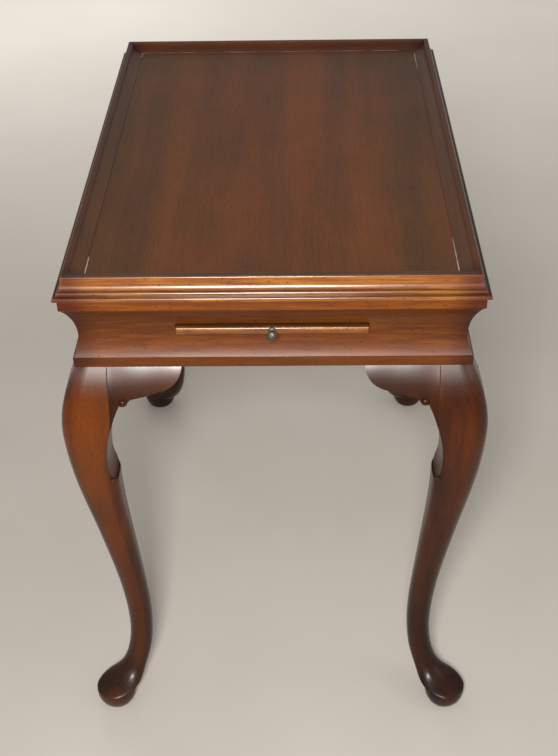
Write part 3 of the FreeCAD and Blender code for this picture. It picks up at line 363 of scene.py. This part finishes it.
# The returns' tones are painted shade, darker down their face below the sheen at the top.
RETURN_TONES = ((0.40, 0.42), (0.495, 0.46), (0.515, 0.62), (0.5360, 0.80))
KNEE_COAT = ((0.0, 0.16), (0.06, 0.14), (0.14, 0.06), (0.502, 0.04), (0.515, 0.28), (0.526, 0.85),
             (0.5360, 1.0))
# The slides' tones are painted shade on their top face, a dark line above the front edge's highlight.
SLIDE_TONES = ((0.5775, 0.85), (0.5830, 1.0), (0.5848, 1.0), (0.5855, 0.45), (0.5857, 0.42))
SCROLL_LEDGE_SHADE = (0.375, 0.410)

# Painted light and shade: the front rim takes lighter golden colours than the others, of the same wood.
LIT_FRONT_RIM = {"light": AMBER, "dark": COPPER, "tones": FRONT_RIM_TONES, "patch": GOLD, "coat": 0.9}
SHADED_OTHER_RIM = {"light": RUSSET, "dark": UMBER, "tones": RIM_TONES, "coat": 0.25}

# Each leg's depth of colour, how much light is painted on its front, and how strong its knee's sheen is.
LEGS = {"back_right": (0.8, 0.3, 0.6), "back_left": (0.9, 0.4, 0.7), "front_left": (1.0, 0.5, 1.0),
        "front_right": (0.75, 0.1, 0.72)}


def dress_frame():
    """The rim's mouldings and coved rails; the front ones get golden painted light, the other rims
    painted shade.
    """
    for turn, (side, along) in enumerate((("front", "X"), ("right", "Y"), ("back", "X"), ("left", "Y"))):
        front = side == "front"
        across = "Y" if along == "X" else "X"
        slope = HALF[across] - (FRONT_SLOPE if front else OTHER_SLOPE)
        toned_ends = (along, HALF[along] - END_FROM, HALF[along] - END_TO, END_TINT)
        # Painted shade on the rim's slope.
        shaded_slope = (across, slope, slope - SLOPE_BLEND, SLOPE_PAINTED_SHADE[side])
        dress(f"gallery_{side}", wood(
            f"rim_{side}_mahogany", along, SEEDS["rim"] + turn, ribbon=0.02, gloss=0.30, coat_gloss=0.22,
            specks=1.0, sides=(toned_ends, shaded_slope), worn=0.4, **(LIT_FRONT_RIM if front else SHADED_OTHER_RIM)))
        # The front rail's amber patch is painted light as well.
        dress(f"apron_{side}", wood(
            f"rail_{side}_mahogany", along, SEEDS["rail"] + turn, COPPER, RUSSET, ribbon=0.03, gloss=0.42,
            coat=RAIL_COAT, coat_gloss=0.40, coat_index=1.7, level=0.2, specks=0.9, shade_reach=0.003,
            tones=RAIL_TONES, sides=(toned_ends,), patch=AMBER if front else None, patch_share=0.5))


def dress_tray():
    dress("tray_panel", wood(
        "tray_field_mahogany", "Y", SEEDS["field"], FIELD_LIGHT, FIELD_DARK, ribbon=0.045, gloss=0.36,
        coat=0.08, coat_gloss=0.2, level=0.3, specks=0.1, sides=FIELD_MARGIN_REFLECTION,
        border_highlight=(FIELD_HALF_X, FIELD_HALF_Y)))
    dress("tray_glue_blocks", bare_wood("glue_block_wood", "Y", SEEDS["glue_block"]))


def dress_legs():
    """The legs, with their returns in the same wood, and the blocks behind them."""
    for turn, (corner, (depth, lit_share, sheen)) in enumerate(LEGS.items()):
        light, dark, streak, lit_front = (
            (red * depth, green * depth, blue)
            for red, green, blue in (LEG_LIGHT, LEG_DARK, LEG_STREAK, LEG_LIT_FRONT))
        outwards = 1.0 if corner.startswith("back") else -1.0
        coat = tuple((height, share * sheen) for height, share in KNEE_COAT)
        shared = {"light": light, "dark": dark, "ribbon": 0.03, "coat": coat, "coat_gloss": 0.44,
                  "coat_index": 2.1, "shade_reach": 0.015}
        dress(f"leg_{corner}", wood(
            f"leg_{corner}_mahogany", "Z", SEEDS["leg"] + turn, gloss=0.25, level=0.16, tones=LEG_TONES,
            patch=streak, patch_share=0.8, patch_grain=LEG_PATCH_GRAIN, ledge=SCROLL_LEDGE_SHADE,
            lit_front=(0.0, outwards, lit_share, lit_front), **shared))
        shaped = wood(f"return_{corner}_mahogany", "Z", SEEDS["leg"] + turn, gloss=0.22, level=0.2,
                      tones=RETURN_TONES, **shared)
        for kind in ("end", "side"):
            dress(f"knee_return_{corner}_{kind}", shaped)
        dress(f"corner_block_{corner}", bare_wood(f"block_{corner}_wood", "Z", SEEDS["block"] + turn))


def dress_slides():
    """The two candle slides, with their knobs and cleats, and what carries them."""
    for turn, end in enumerate(("front", "back")):
        dress(f"candle_slide_{end}", wood(
            f"slide_{end}_mahogany", "X", SEEDS["slide"] + turn, HONEY, RUSSET, ribbon=0.03, gloss=0.36,
            coat=0.5, coat_gloss=0.24, coat_index=1.8, level=0.15, specks=0.4, tones=SLIDE_TONES,
            patch=GOLD, patch_share=0.6))
        dress(f"slide_knob_{end}", metal(f"knob_{end}_brass", KNOB_LIGHT, KNOB_DARK, roughness=0.52,
                                         scale=900.0))
        dress(f"slide_cleat_{end}", bare_wood(f"cleat_{end}_wood", "X", SEEDS["cleat"] + turn))
    for turn, side in enumerate(("left", "right")):
        dress(f"slide_guide_{side}", bare_wood(f"guide_{side}_wood", "Y", SEEDS["guide"] + turn))
    dress("slide_centre_stop", bare_wood("centre_stop_wood", "Y", SEEDS["stop"]))


def dress_screws():
    steel = metal("screw_steel", STEEL_LIGHT, STEEL_DARK, roughness=0.42, scale=1200.0)
    for node in ("guide_screws", "corner_screws"):
        dress(node, steel)


# ---------------------------------------------------------------------------------------------------
# Floor, light and camera
# ---------------------------------------------------------------------------------------------------

FLOOR_REACH, FLOOR_LEVEL = 6.0, -0.0002  # a little below zero, so that the feet don't share its plane
FLOOR_COLOURS = ((0.60, 0.555, 0.49), (0.64, 0.595, 0.53))
GLOW_COLOUR, GLOW = (1.0, 0.93, 0.84), 0.32
GLOW_BEHIND, GLOW_AHEAD, GLOW_BESIDE = (0.2, 2.6), (-1.6, -3.4), (1.2, 3.0)  # where it comes in
SKY_COLOUR, SKY_STRENGTH = (0.80, 0.79, 0.78, 1.0), 0.42
SKY_SEEN = (0.55, 0.51, 0.455, 1.0)


def make_floor():
    """A pale floor. Far from the table, camera and glossy rays see it paler than it is lit."""
    low, high, level = -FLOOR_REACH, FLOOR_REACH, FLOOR_LEVEL
    mesh = bpy.data.meshes.new("floor")
    mesh.from_pydata([(low, low, level), (high, low, level), (high, high, level), (low, high, level)],
                     [], [(0, 1, 2, 3)])
    floor = bpy.data.objects.new("floor", mesh)
    bpy.context.scene.collection.objects.link(floor)
    s = Shader("floor_pale")
    at = s.at()
    x = s.axis(at, "X")
    y = s.axis(at, "Y")
    colour = s.mix(s.ramp(s.noise(at, 2.5, detail=3.0), *SPREAD), *FLOOR_COLOURS)
    cloth = s.add("ShaderNodeBsdfPrincipled", {"Base Color": colour, "Roughness": 0.9,
                                               "Specular IOR Level": 0.2})
    far = s.math("MAXIMUM", s.ramp(y, *GLOW_AHEAD), s.ramp(s.math("ABSOLUTE", x), *GLOW_BESIDE))
    far = s.math("MAXIMUM", s.ramp(y, *GLOW_BEHIND), far)
    rays = s.add("ShaderNodeLightPath")
    seen = s.math("MAXIMUM", rays.outputs["Is Camera Ray"], rays.outputs["Is Glossy Ray"])
    glow = s.times(s.times(far, GLOW), seen)
    pale = s.add("ShaderNodeEmission", {"Color": GLOW_COLOUR, "Strength": glow})
    mesh.materials.append(s.finish(s.add("ShaderNodeAddShader", {0: cloth, 1: pale})))


def make_sky():
    """An even world light, which the camera sees in the far floor's colour."""
    world = bpy.data.worlds.new("studio")
    world.use_nodes = True
    tree = world.node_tree
    light = tree.nodes["Background"]
    light.inputs["Color"].default_value = SKY_COLOUR
    light.inputs["Strength"].default_value = SKY_STRENGTH
    seen = tree.nodes.new("ShaderNodeBackground")
    seen.inputs["Color"].default_value = SKY_SEEN
    pick = tree.nodes.new("ShaderNodeMixShader")
    tree.links.new(tree.nodes.new("ShaderNodeLightPath").outputs["Is Camera Ray"], pick.inputs[0])
    tree.links.new(light.outputs[0], pick.inputs[1])
    tree.links.new(seen.outputs[0], pick.inputs[2])
    tree.links.new(pick.outputs[0], tree.nodes["World Output"].inputs["Surface"])
    bpy.context.scene.world = world


def area_light(name, spot, target, size, power, colour=WHITE):
    lamp = bpy.data.lights.new(name, "AREA")
    lamp.shape = "RECTANGLE"
    lamp.size, lamp.size_y = size
    lamp.energy = power
    lamp.color = colour
    obj = bpy.data.objects.new(name, lamp)
    obj.location = spot
    obj.rotation_euler = (Vector(target) - Vector(spot)).to_track_quat("-Z", "Y").to_euler()
    bpy.context.scene.collection.objects.link(obj)
    return obj


def make_lamps():
    """A key lamp near the camera, as the photograph's flash was, and two soft fills."""
    area_light("key", spot=(-0.08, -1.55, 1.42), target=(0.0, -0.1, 0.45), size=(0.30, 0.30), power=28.0,
               colour=(1.0, 0.98, 0.95))
    area_light("fill", spot=(1.9, -0.6, 1.5), target=(0.0, 0.0, 0.4), size=(1.2, 1.2), power=4.0)
    back_fill = area_light("back_fill", spot=(-0.9, 2.4, 0.95), target=(0.0, 0.2, 0.4), size=(1.4, 1.0),
                           power=12.0)
    back_fill.visible_glossy = False


def make_camera():
    """The photograph's view: a point in front of and above the table, looking down at it."""
    spot = (0.0283, -1.32186, 1.28205)
    yaw, pitch, roll = 0.022, 0.646, -0.019
    focal, frame_height, sensor = 1193.99, 756.0, 36.0  # focal length and frame in pixels, sensor in mm
    ahead = Vector((-math.sin(yaw) * math.cos(pitch), math.cos(yaw) * math.cos(pitch), -math.sin(pitch)))
    right = Vector((math.cos(yaw), math.sin(yaw), 0.0))
    up = right.cross(ahead)
    side = right * math.cos(roll) + up * math.sin(roll)
    top = up * math.cos(roll) - right * math.sin(roll)
    data = bpy.data.cameras.new("camera")
    data.sensor_width = sensor
    data.lens = focal * sensor / frame_height
    camera = bpy.data.objects.new("camera", data)
    camera.matrix_world = Matrix((
        (side.x, top.x, -ahead.x, spot[0]),
        (side.y, top.y, -ahead.y, spot[1]),
        (side.z, top.z, -ahead.z, spot[2]),
        (0.0, 0.0, 0.0, 1.0)))
    bpy.context.scene.collection.objects.link(camera)
    bpy.context.scene.camera = camera


dress_frame()
dress_tray()
dress_legs()
dress_slides()
dress_screws()
make_floor()
make_sky()
make_lamps()
make_camera()
bpy.context.scene.view_settings.view_transform = "Standard"
